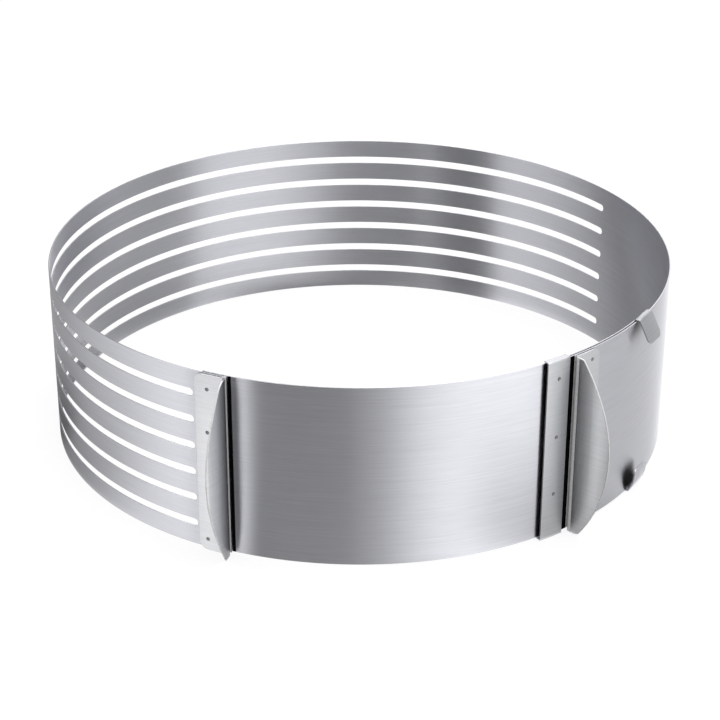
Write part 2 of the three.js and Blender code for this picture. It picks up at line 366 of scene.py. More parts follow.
def hinge_azimuths(names, turn):
    azimuths = []
    for name in names:
        place = Vector(joint_named(name)["pos_m"]) - RING_AXIS
        azimuth = math.degrees(math.atan2(place.x, -place.y))
        azimuths.append(azimuth % 360 if turn else azimuth)
    return azimuths


def middles(values):
    return [(a + b) / 2 for a, b in zip(values, values[1:])]


# Finishes: the grain is given in lines, streaks and clouds to the metre, along the sheet and across it
GRAIN_MAP = "grain"
GRAIN_SCALES = {
    "Lines along": 90.0,
    "Lines across": 5200.0,
    "Streaks along": 22.0,
    "Streaks across": 1300.0,
    "Clouds": 30.0,
}
LINES_DETAIL = 3.0
STREAKS_DETAIL = 2.0
GRAIN_ROUGHNESS = 0.6
LINES_SHARE = 0.45
STREAKS_SHARE = 0.55
TONE_ENDS = (0.3, 0.7)
GLOSS_ENDS = (0.25, 0.75)
GLOSS_SPREAD = 0.015
GRAIN_BUMP = 0.06
GRAIN_DEPTH = 0.02 * MM
QUARTER_TURN = 0.25
# Painted shade on a flap towards its fold: how far it reaches, and its darkest tone
ROOT_SHADE_REACH = 16.0 * MM
ROOT_SHADE_TONE = 0.45
SPECK_SCALE = 900.0
SPECK_TONES = (0.8, 1.2)


def grey(level):
    return (level, level, level, 1)


def lines_group():
    """Brushed lines: fine lines along the grain, longer streaks, and a slow unevenness of the brushing."""
    group = bpy.data.node_groups.new("brushed_lines", "ShaderNodeTree")
    socket = group.interface.new_socket
    socket(name="Grain", in_out="INPUT", socket_type="NodeSocketVector")
    for name in GRAIN_SCALES:
        socket(name=name, in_out="INPUT", socket_type="NodeSocketFloat")
    for name in ("Lines", "Streaks", "Unevenness"):
        socket(name=name, in_out="OUTPUT", socket_type="NodeSocketFloat")
    nodes, links = group.nodes, group.links
    inside = nodes.new("NodeGroupInput")
    outside = nodes.new("NodeGroupOutput")

    def scratched(along, across, detail, result):
        stretch = nodes.new("ShaderNodeCombineXYZ")
        links.new(inside.outputs[along], stretch.inputs["X"])
        links.new(inside.outputs[across], stretch.inputs["Y"])
        scaled = nodes.new("ShaderNodeVectorMath")
        scaled.operation = "MULTIPLY"
        links.new(inside.outputs["Grain"], scaled.inputs[0])
        links.new(stretch.outputs["Vector"], scaled.inputs[1])
        noise = nodes.new("ShaderNodeTexNoise")
        noise.noise_dimensions = "2D"
        noise.inputs["Scale"].default_value = 1.0
        noise.inputs["Detail"].default_value = detail
        noise.inputs["Roughness"].default_value = GRAIN_ROUGHNESS
        links.new(scaled.outputs["Vector"], noise.inputs["Vector"])
        links.new(noise.outputs["Fac"], outside.inputs[result])

    scratched("Lines along", "Lines across", LINES_DETAIL, "Lines")
    scratched("Streaks along", "Streaks across", STREAKS_DETAIL, "Streaks")
    scratched("Clouds", "Clouds", STREAKS_DETAIL, "Unevenness")
    return group


def paint_root_shade(nodes, links, grain, colour):
    """Paints shade on the metal of a flap towards its fold."""
    split = nodes.new("ShaderNodeSeparateXYZ")
    links.new(grain.outputs["UV"], split.inputs["Vector"])
    along = nodes.new("ShaderNodeMapRange")
    along.inputs["From Max"].default_value = ROOT_SHADE_REACH
    links.new(split.outputs["X"], along.inputs["Value"])
    ramp = nodes.new("ShaderNodeValToRGB")
    ramp.color_ramp.elements.new(FOLD_RADIUS / ROOT_SHADE_REACH)
    for stop, level in zip(ramp.color_ramp.elements, (1.0, ROOT_SHADE_TONE, 1.0)):
        stop.color = grey(level)
    links.new(along.outputs["Result"], ramp.inputs["Fac"])
    toned = nodes.new("ShaderNodeVectorMath")
    toned.operation = "MULTIPLY"
    links.new(colour, toned.inputs[0])
    links.new(ramp.outputs["Color"], toned.inputs[1])
    return toned.outputs["Vector"]


def brushed_steel(name, lines, dark, light, roughness, anisotropy, root_shaded=False):
    """Brushed stainless: lines lighten and darken the metal, clouds change how sharply it mirrors, and a
    flap's metal can take painted shade towards its fold.
    """
    steel = bpy.data.materials.new(name)
    steel.use_nodes = True
    nodes, links = steel.node_tree.nodes, steel.node_tree.links
    shader = nodes["Principled BSDF"]
    shader.inputs["Metallic"].default_value = 1.0
    shader.inputs["Anisotropic"].default_value = anisotropy
    shader.inputs["Anisotropic Rotation"].default_value = QUARTER_TURN

    grain = nodes.new("ShaderNodeUVMap")
    grain.uv_map = GRAIN_MAP
    tangent = nodes.new("ShaderNodeTangent")
    tangent.direction_type = "UV_MAP"
    tangent.uv_map = GRAIN_MAP
    links.new(tangent.outputs["Tangent"], shader.inputs["Tangent"])

    brushing = nodes.new("ShaderNodeGroup")
    brushing.node_tree = lines
    for scale_name, scale in GRAIN_SCALES.items():
        brushing.inputs[scale_name].default_value = scale
    links.new(grain.outputs["UV"], brushing.inputs["Grain"])

    mixed = nodes.new("ShaderNodeMath")
    mixed.operation = "MULTIPLY_ADD"
    mixed.inputs[1].default_value = LINES_SHARE
    links.new(brushing.outputs["Lines"], mixed.inputs[0])
    share = nodes.new("ShaderNodeMath")
    share.operation = "MULTIPLY"
    share.inputs[1].default_value = STREAKS_SHARE
    links.new(brushing.outputs["Streaks"], share.inputs[0])
    links.new(share.outputs["Value"], mixed.inputs[2])

    tone = nodes.new("ShaderNodeValToRGB")
    for stop, position, metal in zip(tone.color_ramp.elements, TONE_ENDS, (dark, light)):
        stop.position = position
        stop.color = (*metal, 1)
    links.new(mixed.outputs["Value"], tone.inputs["Fac"])
    colour = tone.outputs["Color"]
    if root_shaded:
        colour = paint_root_shade(nodes, links, grain, colour)
    links.new(colour, shader.inputs["Base Color"])

    gloss = nodes.new("ShaderNodeMapRange")
    gloss.inputs["From Min"].default_value = GLOSS_ENDS[0]
    gloss.inputs["From Max"].default_value = GLOSS_ENDS[1]
    gloss.inputs["To Min"].default_value = roughness - GLOSS_SPREAD
    gloss.inputs["To Max"].default_value = roughness + GLOSS_SPREAD
    links.new(brushing.outputs["Unevenness"], gloss.inputs["Value"])
    links.new(gloss.outputs["Result"], shader.inputs["Roughness"])

    bump = nodes.new("ShaderNodeBump")
    bump.inputs["Strength"].default_value = GRAIN_BUMP
    bump.inputs["Distance"].default_value = GRAIN_DEPTH
    links.new(mixed.outputs["Value"], bump.inputs["Height"])
    links.new(bump.outputs["Normal"], shader.inputs["Normal"])
    return steel


brushed_lines = lines_group()
slotted_steel = brushed_steel("slotted_band_steel", brushed_lines,
                              dark=(0.505, 0.51, 0.54), light=(0.57, 0.575, 0.61),
                              roughness=0.32, anisotropy=0.94)
plain_steel = brushed_steel("plain_band_steel", brushed_lines,
                            dark=(0.505, 0.51, 0.54), light=(0.58, 0.585, 0.62),
                            roughness=0.32, anisotropy=0.94)
# The left flap's metal takes painted shade towards its fold.
left_steel = brushed_steel("left_handle_steel", brushed_lines,
                           dark=(0.515, 0.52, 0.535), light=(0.6, 0.605, 0.62),
                           roughness=0.4, anisotropy=0.7, root_shaded=True)
right_steel = brushed_steel("right_handle_steel", brushed_lines,
                            dark=(0.515, 0.52, 0.535), light=(0.6, 0.605, 0.62),
                            roughness=0.4, anisotropy=0.7)
# A darker copy of the band's steel: painted shade on the upper tab.
shaded_tab_steel = brushed_steel("shaded_tab_steel", brushed_lines,
                          dark=(0.37, 0.375, 0.395), light=(0.43, 0.435, 0.455),
                          roughness=0.34, anisotropy=0.8)
strip_steel = brushed_steel("strip_steel", brushed_lines,
                            dark=(0.44, 0.445, 0.46), light=(0.52, 0.525, 0.54),
                            roughness=0.4, anisotropy=0.7)


def dull_steel(name, colour, metal, roughness, specular):
    """A dull finish with small specks: burnt steel at the welds, painted shade in the grooves and painted
    highlights on edges and folds.
    """
    steel = bpy.data.materials.new(name)
    steel.use_nodes = True
    nodes, links = steel.node_tree.nodes, steel.node_tree.links
    shader = nodes["Principled BSDF"]
    shader.inputs["Metallic"].default_value = metal
    shader.inputs["Roughness"].default_value = roughness
    shader.inputs["Specular IOR Level"].default_value = specular
    place = nodes.new("ShaderNodeTexCoord")
    specks = nodes.new("ShaderNodeTexNoise")
    specks.inputs["Scale"].default_value = SPECK_SCALE
    links.new(place.outputs["Object"], specks.inputs["Vector"])
    tone = nodes.new("ShaderNodeValToRGB")
    for stop, share in zip(tone.color_ramp.elements, SPECK_TONES):
        stop.color = (*(share * c for c in colour), 1)
    links.new(specks.outputs["Fac"], tone.inputs["Fac"])
    links.new(tone.outputs["Color"], shader.inputs["Base Color"])
    return steel


weld_mark = dull_steel("weld_mark", colour=(0.2, 0.2, 0.21), metal=0.7, roughness=0.45, specular=0.5)
# Painted shade: near-black in the grooves beside the folds and inside the tabs' pockets.
painted_groove_shade = dull_steel("painted_groove_shade", colour=(0.004, 0.004, 0.004), metal=0.0, roughness=1.0, specular=0.0)
# Painted highlight: a light, matt line on the band beside each fold.
painted_band_highlight = dull_steel("painted_band_highlight", colour=(0.8, 0.8, 0.81), metal=0.0, roughness=0.4, specular=0.8)
# Painted highlight: a light, matt finish on the flaps' cut edges and along the right fold.
painted_flap_highlight = dull_steel("painted_flap_highlight", colour=(0.88, 0.88, 0.89), metal=0.0, roughness=0.35, specular=0.9)
slotted_finishes = (slotted_steel, painted_groove_shade, painted_band_highlight)
plain_finishes = (plain_steel, painted_groove_shade, shaded_tab_steel)


def dress(piece, slot, *finishes):
    kept = [face.material_index for face in piece.data.polygons]
    piece.data.materials.clear()
    for finish in finishes:
        piece.data.materials.append(finish)
    for face, index in zip(piece.data.polygons, kept):
        face.material_index = min(index, len(finishes) - 1)


def paint_upright(piece, azimuths, index):
    """Gives the outer face another finish between two azimuths: the painted shade in a groove or the painted
    highlight beside a fold.
    """
    for face in piece.data.polygons:
        out = face.center - RING_AXIS
        azimuth = math.degrees(math.atan2(out.x, -out.y))
        out.z = 0
        if azimuths[0] < azimuth < azimuths[1] and face.normal.dot(out.normalized()) > FACING:
            face.material_index = index


def mark_welds(piece, welds, face):
    """Gives the dents in a flat sheet's outer face the second finish."""
    for side in piece.data.polygons:
        for along, height in welds:
            away = math.hypot(side.center.x - along, side.center.z - height)
            if away < WELD_RADIUS and WELD_SKIN < side.center.y - face < 2 * WELD_DEPTH:
                side.material_index = 1


def mark_flap_highlights(handle, fold_end, line):
    """Gives the cut edge of a flat handle's flap, and a line along its fold, the third finish, a painted
    highlight.
    """
    for side in handle.data.polygons:
        rim = side.center.x > fold_end + MM and abs(side.normal.y) < EDGEWAYS
        fold_highlight = line[0] < side.center.x / fold_end < line[1] and side.normal.y > FACING
        if rim or fold_highlight:
            side.material_index = 2


# Slotted band
def slot_cutters():
    left = arc(SLOT_LEFT_END, OUTER_RADIUS)
    right = arc(SLOT_RIGHT_END, OUTER_RADIUS)
    bottom = BAND_MIDDLE - (SLOTS - 1) / 2 * SLOT_PITCH - SLOT_HEIGHT / 2
    first = block("slot_cutter", (right, -BAND_SHEET, bottom), (left, 2 * BAND_SHEET, bottom + SLOT_HEIGHT))
    pick(first, edges=lambda a, b: abs(a.y - b.y) > BAND_SHEET)
    bpy.ops.mesh.bevel(offset=SLOT_ROUNDING, segments=SLOT_END_STEPS, affect="EDGES")
    put_down()
    cutters = [first]
    for i in range(1, SLOTS):
        cutter = copy_of(first, "slot_cutter")
        cutter.location.z = i * SLOT_PITCH
        settle(cutter)
        cutters.append(cutter)
    return cutters


def lengths_of_band(sheet, stem, radius, ends, cuts):
    """Cuts the flat band into lengths at these azimuths and rolls each to the ring."""
    bounds = [ends[0], *cuts, ends[1]]
    pieces = []
    for i, (a, b) in enumerate(zip(bounds, bounds[1:])):
        piece = copy_of(sheet, "%s_%d" % (stem, i + 1))
        low, high = sorted((arc(a, radius), arc(b, radius)))
        trim(piece, high, (1, 0, 0))
        trim(piece, -low, (-1, 0, 0))
        roll(piece, radius)
        set_on_ring(piece, radius)
        smooth(piece)
        true_round(piece)
        pieces.append(piece)
    bpy.data.objects.remove(sheet)
    return pieces


def make_slotted_band():
    names = ["ring_adjust"] + ["slotted_bend_%d" % i for i in range(2, SLOTTED_HINGES + 1)]
    hinges = hinge_azimuths(names, turn=True)
    cuts = middles(hinges)
    ends = (SLOTTED_LEFT_END, SLOTTED_RIGHT_END)
    low, high = arc(ends[1], OUTER_RADIUS), arc(ends[0], OUTER_RADIUS)
    sheet = block("slotted_sheet", (low, 0, BAND_BOTTOM), (high, BAND_SHEET, BAND_TOP))
    slot_centres = [arc(SLOT_RIGHT_END, OUTER_RADIUS) + SLOT_HEIGHT / 2,
                    arc(SLOT_LEFT_END, OUTER_RADIUS) - SLOT_HEIGHT / 2]
    # The sheet is cut also at the edges of the painted shade and the painted highlights.
    marks = (*cuts, *RIGHT_GROOVE, RIGHT_PAINTED_HIGHLIGHT[1], LEFT_PAINTED_HIGHLIGHT[0] + 360)
    knots = [low, high, *slot_centres, *(arc(mark, OUTER_RADIUS) for mark in marks)]
    cut_across(sheet, even_cuts(knots, COLUMN))
    cut_out(sheet, slot_cutters())
    ease_edges(sheet)
    lay_grain(sheet)
    pieces = lengths_of_band(sheet, "slotted_band", OUTER_RADIUS, ends, cuts)

    for i, piece in enumerate(pieces):
        # Painted shade in the groove beside the right fold, and painted highlights on the band beside both
        # folds.
        paint_upright(piece, RIGHT_GROOVE, 1)
        paint_upright(piece, LEFT_PAINTED_HIGHLIGHT, 2)
        paint_upright(piece, RIGHT_PAINTED_HIGHLIGHT, 2)
        dress(piece, "slotted_steel", *slotted_finishes)
        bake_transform(piece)
        if i < BARRED_LENGTHS:
            nodes = ["slotted_band_%d_bar_%d" % (i + 1, bar) for bar in range(1, SLOTS + 2)]
        elif i == BARRED_LENGTHS:
            nodes = ["slotted_band_right_comb"]
        else:
            nodes = ["slotted_band_plate_%d" % (i - BARRED_LENGTHS)]
        if i == 0:
            nodes.append("slotted_band_left_comb")
        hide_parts(*nodes)


# Plain band
def along_line(line, *points):
    """Whether all these points lie on a line that runs along the sheet."""
    return all((point - line).yz.length < NEAR for point in points)


def make_tab(name, side):
    """A tab folded outwards over the band's edge; side is 1 at the top and -1 at the bottom."""
    bpy.ops.object.select_all(action="DESELECT")
    bpy.ops.mesh.primitive_plane_add(size=1, calc_uvs=False, rotation=(math.pi / 2, 0, 0))
    tab = named(name)
    inset = OUTER_RADIUS - PLAIN_RADIUS + BAND_SHEET / 2
    half = (BAND_TOP - BAND_BOTTOM) / 2
    tab.scale = (TAB_WIDTH, TAB_LIFT, 1)
    tab.location = (0, inset, half)
    settle(tab)

    steps = [Vector((0, -TAB_REACH, 0))]
    for slope in TAB_SLOPES[side]:
        a = math.radians(slope)
        steps.append(Vector((0, -math.sin(a), -math.cos(a))) * TAB_STEP)
    end = Vector((0, inset, half + TAB_LIFT / 2))
    folds = [end.copy()]
    for step in steps:
        pick(tab, edges=lambda a, b: along_line(end, a, b))
        bpy.ops.mesh.extrude_edges_move(TRANSFORM_OT_translate={"value": step})
        put_down()
        end = end + step
        folds.append(end.copy())

    pick(tab, points=lambda p: along_line(end, p))
    bpy.ops.mesh.bevel(offset=TAB_CORNER, segments=TAB_CORNER_STEPS, affect="VERTICES")
    put_down()
    pick(tab, edges=lambda a, b: any(along_line(fold, a, b) for fold in folds[:2]))
    bpy.ops.mesh.bevel(offset=TAB_FOLD, segments=BEND_STEPS, affect="EDGES")
    bpy.ops.mesh.select_all(action="SELECT")
    bpy.ops.mesh.normals_make_consistent(inside=False)
    put_down()

    wall = tab.modifiers.new("wall", "SOLIDIFY")
    wall.thickness = BAND_SHEET
    wall.offset = 0
    apply(tab, wall)
    tab.data.transform(Matrix.Scale(side, 4, (0, 0, 1)))
    tab.data.transform(Matrix.Translation((0, 0, BAND_MIDDLE)))
    pick(tab, faces=lambda f: True)
    bpy.ops.mesh.normals_make_consistent(inside=False)
    put_down()
    ease_edges(tab, EDGE_EASE / 2)
    lay_grain(tab)
    for finish in plain_finishes:
        tab.data.materials.append(finish)
    for face in tab.data.polygons:
        # The tab's inner faces, which face the band across the pocket, take the painted shade.
        in_pocket = face.normal.y > HALF_FACING and face.center.y < -TAB_LIFT
        face.material_index = 1 if in_pocket else TAB_FINISHES[side]
    set_on_ring(tab, OUTER_RADIUS, TAB_MIDDLE)
    smooth(tab)
    return tab


def make_plain_band():
    names = ["plain_bend_%d" % i for i in range(1, PLAIN_HINGES + 1)]
    hinges = hinge_azimuths(names, turn=False)
    cuts = middles(hinges)
    ends = (PLAIN_LEFT_END, PLAIN_RIGHT_END)
    low, high = (arc(a, PLAIN_RADIUS) for a in ends)
    sheet = block("plain_sheet", (low, 0, BAND_BOTTOM), (high, BAND_SHEET, BAND_TOP))
    # The sheet is cut also at the edges of the painted shade in the left groove.
    knots = [low, high, *(arc(mark, PLAIN_RADIUS) for mark in (*cuts, *LEFT_GROOVE))]
    cut_across(sheet, even_cuts(knots, COLUMN))
    ease_edges(sheet)
    lay_grain(sheet)
    pieces = lengths_of_band(sheet, "plain_band", PLAIN_RADIUS, ends, cuts)

    for i, piece in enumerate(pieces):
        # Painted shade in the groove beside the left fold.
        paint_upright(piece, LEFT_GROOVE, 1)
        dress(piece, "plain_steel", *plain_finishes)
        if i == len(pieces) - 1:
            join_tabs(piece)
        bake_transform(piece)
        nodes = ["plain_band_link_%d" % (i + 2)]
        if i == 0:
            nodes.append("plain_band_link_1")
        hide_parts(*nodes)


def join_tabs(piece):
    """Joins the two tabs to the right end of the plain band."""
    tabs = [make_tab("plain_tab_top", 1), make_tab("plain_tab_bottom", -1)]
    take_up(piece)
    for tab in tabs:
        tab.select_set(True)
    bpy.ops.object.join()


# Handles
def make_handle(name, fold, side, moon, steel):
    """A flange that follows the band, a round fold and a half-moon flap.

    side is -1 where the flange runs to lower azimuths from the fold, and 1 where it runs to higher ones.
    """
    turn = FOLD_RADIUS / OUTER_RADIUS
    fold_angle = math.pi / 2 + turn - math.radians(moon["lean"])
    fold_end = FOLD_RADIUS * fold_angle
    flap_start = WELD_GAP + FOLD_RADIUS
    flap_end = fold_end + moon["reach"] - flap_start
    flange = FLANGE_WIDTH - FOLD_RADIUS

    bpy.ops.object.select_all(action="DESELECT")
    bpy.ops.mesh.primitive_circle_add(vertices=MOON_STEPS, radius=moon["radius"], fill_type="NGON",
                                      location=(flap_end - moon["radius"], 0, moon["middle"]),
                                      rotation=(math.pi / 2, 0, 0), calc_uvs=False)
    handle = named(name)
    settle(handle)
    trim(handle, HANDLE_TOP, (0, 0, 1), fill=False)
    trim(handle, -HANDLE_BOTTOM, (0, 0, -1), fill=False)
    trim(handle, -fold_end, (-1, 0, 0), fill=False)
    ends = (HANDLE_TOP, HANDLE_BOTTOM)
    pick(handle, points=lambda p: p.x > fold_end + MM and any(abs(p.z - e) < NEAR for e in ends))
    bpy.ops.mesh.bevel(offset=FLAP_CORNER, segments=FLAP_CORNER_STEPS, affect="VERTICES")
    put_down()
    for start, step in ((fold_end, fold_end), (0.0, flange)):
        pick(handle, edges=lambda a, b: abs(a.x - start) < NEAR and abs(b.x - start) < NEAR)
        bpy.ops.mesh.extrude_edges_move(TRANSFORM_OT_translate={"value": (-step, 0, 0)})
        put_down()
    pick(handle, points=lambda p: abs(p.x + flange) < NEAR)
    bpy.ops.mesh.bevel(offset=FLANGE_CORNER, segments=FLANGE_CORNER_STEPS, affect="VERTICES")
    put_down()
    fold_cuts = [fold_end * i / FOLD_STEPS for i in range(1, FOLD_STEPS)]
    flange_cuts = [-flange * i / FLANGE_STEPS for i in range(1, FLANGE_STEPS)]
    curl_cuts = [fold_end + (flap_end - fold_end) * i / CURL_STEPS for i in range(CURL_STEPS)]
    line_cuts = [fold_end * share for share in moon["line"] if share > 1]
    cut_across(handle, fold_cuts + flange_cuts + curl_cuts + line_cuts)

    pick(handle, faces=lambda f: True)
    bpy.ops.mesh.extrude_region_move(TRANSFORM_OT_translate={"value": (0, -HANDLE_SHEET, 0)})
    bpy.ops.mesh.select_all(action="SELECT")
    bpy.ops.mesh.normals_make_consistent(inside=False)
    put_down()
    ease_edges(handle, HANDLE_EASE, HANDLE_EASE_STEPS)
    welds = [(FOLD_RADIUS - inset * MM, BAND_BOTTOM + height * MM) for inset, height in moon["welds"]]
    cut_out(handle, [weld_dent(*weld, -HANDLE_SHEET) for weld in welds])
    mark_welds(handle, welds, -HANDLE_SHEET)
    # Painted highlight on the flap's cut edge and along its fold.
    mark_flap_highlights(handle, fold_end, moon["line"])
    lay_grain(handle)
    handle.data.transform(Matrix.Translation((-fold_end, 0, 0)))
    roll(handle, -moon["curl"], 0.0, flap_end - fold_end)
    handle.data.transform(Matrix.Translation((fold_end, 0, 0)))
    roll(handle, -FOLD_RADIUS, 0.0, fold_end)
    roll(handle, OUTER_RADIUS + WELD_GAP, -flange, 0.0)
    if side > 0:
        handle.data.transform(Matrix.Scale(-1, 4, (1, 0, 0)))
        pick(handle, faces=lambda f: True)
        bpy.ops.mesh.normals_make_consistent(inside=False)
        put_down()
    set_on_ring(handle, OUTER_RADIUS + WELD_GAP, fold + side * math.degrees(turn))
    smooth_by_area(handle)
    dress(handle, "handle_steel", steel, weld_mark, painted_flap_highlight)
    return handle


# Guide strip
def make_guide_strip():
    radius = OUTER_RADIUS + WELD_GAP
    low, high = arc(STRIP_LEFT, radius), arc(STRIP_RIGHT, radius)
    strip = block("guide_strip_dressed", (low, -STRIP_SHEET, 0), (high, 0, STRIP_HEIGHT))
    cut_across(strip, (LIP_SHEET, STRIP_HEIGHT - LIP_SHEET), (0, 0, 1))
    half = STRIP_HEIGHT / 2

    def at_lip(face):
        return face.normal.y > FACING and abs(face.center.z - half) > half - LIP_SHEET

    def at_fold(point):
        return abs(point.y + STRIP_SHEET) < NEAR and abs(point.z - half) > half - NEAR

    pick(strip, faces=at_lip)
    bpy.ops.mesh.extrude_region_move(TRANSFORM_OT_translate={"value": (0, LIP_REACH, 0)})
    put_down()
    pick(strip, edges=lambda a, b: at_fold(a) and at_fold(b) and abs(a.x - b.x) > MM)
    bpy.ops.mesh.bevel(offset=LIP_FOLD, segments=BEND_STEPS, affect="EDGES")
    put_down()
    cut_across(strip, even_cuts([low, high], COLUMN))
    ease_edges(strip)
    welds = [(arc(STRIP_WELD_AZIMUTH, radius), BAND_BOTTOM + height) for height in STRIP_WELDS]
    cut_out(strip, [weld_dent(*weld, -STRIP_SHEET) for weld in welds])
    mark_welds(strip, welds, -STRIP_SHEET)
    lay_grain(strip)
    roll(strip, radius)
    set_on_ring(strip, radius)
    smooth_by_area(strip)
    dress(strip, "handle_steel", strip_steel, weld_mark)
    return strip


make_slotted_band()
make_plain_band()
left_handle = make_handle("handle_left", LEFT_FOLD, -1, LEFT_MOON, left_steel)
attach(left_handle, "welded_end")
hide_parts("left_handle")
right_handle = make_handle("handle_right", RIGHT_FOLD, 1, RIGHT_MOON, right_steel)
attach(right_handle, "sliding_end")
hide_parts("right_handle")
guide_strip = make_guide_strip()
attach(guide_strip, "sliding_end")
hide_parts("guide_strip")


# Stage: a white floor, a light tent round it and soft light from above. The levels of the tent's cloth go by
# azimuth, and the places and radii of the shades are in millimetres from the ring's axis.
FLOOR_SIZE = 30.0
FLOOR_TONE = 0.2
FLOOR_WHITE = 0.83
TENT_RADIUS = 2.5
TENT_HEIGHT = 6.0
TENT_STEPS = 180
TENT_STRENGTH = 1.9
TENT = (
    (-180.0, 0.43), (-132.0, 0.48), (-110.0, 0.86), (-85.0, 1.25), (-58.0, 1.52), (-57.0, 0.18),
    (-42.0, 0.18), (-33.0, 0.28), (-10.0, 0.29), (0.0, 0.37), (10.0, 0.65), (22.0, 1.26), (36.0, 1.68),
    (48.0, 1.78), (70.0, 1.78), (72.5, 1.06), (80.0, 0.98), (95.0, 0.87), (125.0, 0.88), (145.0, 1.12),
    (156.0, 1.7), (180.0, 1.85),
)
ROOF_STRENGTH = 2.8
DISC_STEPS = 96
CARD_HEIGHTS = (-62.0 * MM, 70.0 * MM)
WHITE_CARD = {
    "ends": ((-146.0 * MM, -175.3 * MM), (-96.0 * MM, -219.0 * MM)), "glow": 1.65, "fade": (0.6, 0.83),
}
DARK_CARD = {
    "ends": ((-78.0 * MM, -234.0 * MM), (-2.0 * MM, -234.0 * MM)), "glow": 0.27, "fade": (0.88, 1.0),
}
SHADES = {
    "inner_shade": {"middle": (0.0, 0.0, 1.0), "radius": 142.0, "core": 0.99, "level": 0.72},
    "left_shade": {"middle": (-92.0, 108.0, 1.5), "radius": 75.0, "core": 0.35, "level": 0.72},
    "wall_shade": {"middle": (-150.0, 12.0, 2.0), "radius": 62.0, "core": 0.55, "level": 0.25},
    "outer_shade": {"middle": (-170.0, -55.0, 2.5), "radius": 105.0, "core": 0.2, "level": 0.62},
    "back_shade": {"middle": (-48.0, 188.0, 1.0), "radius": 88.0, "core": 0.45, "level": 0.1},
    "strip_shade": {"middle": (106.0, -140.0, 1.0), "radius": 66.0, "core": 0.25, "level": 0.5},
}
SKY_TONE = 0.9
LAMP_PLACE = Vector((0.3, -0.2, 1.6))
LAMP_SIZE = 1.0
LAMP_POWER = 6.0
CAMERA_PLACE = Vector((0.334, -865.09, 460.48)) * MM
CAMERA_DOWN = 26.49
CAMERA_ROLL = 0.11
CAMERA_NEAR = 0.01
LENS = 99.92
SENSOR = 36.0


def blank_material(name):
    """A material with no nodes yet, its nodes and its links."""
    material = bpy.data.materials.new(name)
    material.use_nodes = True
    nodes, links = material.node_tree.nodes, material.node_tree.links
    nodes.clear()
    return material, nodes, links


def surface(nodes, links, result):
    output = nodes.new("ShaderNodeOutputMaterial")
    links.new(result, output.inputs["Surface"])


def seen_white(nodes, links):
    """1 for what the camera sees, straight or in metal and glass."""
    path = nodes.new("ShaderNodeLightPath")
    either = nodes.new("ShaderNodeMath")
    either.operation = "MAXIMUM"
    links.new(path.outputs["Is Camera Ray"], either.inputs[0])
    links.new(path.outputs["Is Glossy Ray"], either.inputs[1])
    white = nodes.new("ShaderNodeMath")
    white.operation = "MAXIMUM"
    links.new(either.outputs["Value"], white.inputs[0])
    links.new(path.outputs["Is Transmission Ray"], white.inputs[1])
    return white.outputs["Value"]


def make_floor():
    bpy.ops.object.select_all(action="DESELECT")
    bpy.ops.mesh.primitive_plane_add(size=FLOOR_SIZE, location=(0, 0, 0))
    floor = named("white_floor")
    paper, nodes, links = blank_material("white_paper")
    matt = nodes.new("ShaderNodeBsdfDiffuse")
    matt.inputs["Color"].default_value = grey(FLOOR_TONE)
    glow = nodes.new("ShaderNodeEmission")
    glow.inputs["Color"].default_value = grey(FLOOR_WHITE)
    links.new(seen_white(nodes, links), glow.inputs["Strength"])
    both = nodes.new("ShaderNodeAddShader")
    links.new(matt.outputs["BSDF"], both.inputs[0])
    links.new(glow.outputs["Emission"], both.inputs[1])
    surface(nodes, links, both.outputs["Shader"])
    floor.data.materials.append(paper)
    floor.visible_glossy = False


def make_tent():
    """A round light tent: bright cloth at the sides, and its dark opening to the front left."""
    bpy.ops.object.select_all(action="DESELECT")
    bpy.ops.mesh.primitive_cylinder_add(vertices=TENT_STEPS, radius=TENT_RADIUS, depth=TENT_HEIGHT,
                                        end_fill_type="NOTHING")
    tent = named("light_tent")
    cloth, nodes, links = blank_material("tent_cloth")
    place = nodes.new("ShaderNodeTexCoord")
    split = nodes.new("ShaderNodeSeparateXYZ")
    links.new(place.outputs["Object"], split.inputs["Vector"])
    front = nodes.new("ShaderNodeMath")
    front.operation = "MULTIPLY"
    front.inputs[1].default_value = -1.0
    links.new(split.outputs["Y"], front.inputs[0])
    azimuth = nodes.new("ShaderNodeMath")
    azimuth.operation = "ARCTAN2"
    links.new(split.outputs["X"], azimuth.inputs[0])
    links.new(front.outputs["Value"], azimuth.inputs[1])
    turn = nodes.new("ShaderNodeMapRange")
    turn.inputs["From Min"].default_value = -math.pi
    turn.inputs["From Max"].default_value = math.pi
    links.new(azimuth.outputs["Value"], turn.inputs["Value"])
    ramp = nodes.new("ShaderNodeValToRGB")
    stops = ramp.color_ramp.elements
    for i, (degrees, level) in enumerate(TENT):
        position = (degrees + 180) / 360
        stop = stops[i] if i < 2 else stops.new(position)
        stop.position = position
        stop.color = grey(level / TENT_STRENGTH)
    links.new(turn.outputs["Result"], ramp.inputs["Fac"])
    glow = nodes.new("ShaderNodeEmission")
    glow.inputs["Strength"].default_value = TENT_STRENGTH
    links.new(ramp.outputs["Color"], glow.inputs["Color"])
    surface(nodes, links, glow.outputs["Emission"])
    cloth.cycles.emission_sampling = "NONE"
    tent.data.materials.append(cloth)
    only_mirrored(tent)


def only_mirrored(card):
    """A card of the stage that shows only in the metal."""
    card.visible_camera = False
    card.visible_diffuse = False
    card.visible_transmission = False
    card.visible_shadow = False


def make_roof():
    bpy.ops.object.select_all(action="DESELECT")
    bpy.ops.mesh.primitive_circle_add(vertices=DISC_STEPS, radius=TENT_RADIUS, fill_type="NGON",
                                      location=(0, 0, TENT_HEIGHT / 2))
    roof = named("tent_roof")
    cloth, nodes, links = blank_material("roof_cloth")
    glow = nodes.new("ShaderNodeEmission")
    glow.inputs["Strength"].default_value = ROOF_STRENGTH
    surface(nodes, links, glow.outputs["Emission"])
    cloth.cycles.emission_sampling = "NONE"
    roof.data.materials.append(cloth)
    only_mirrored(roof)


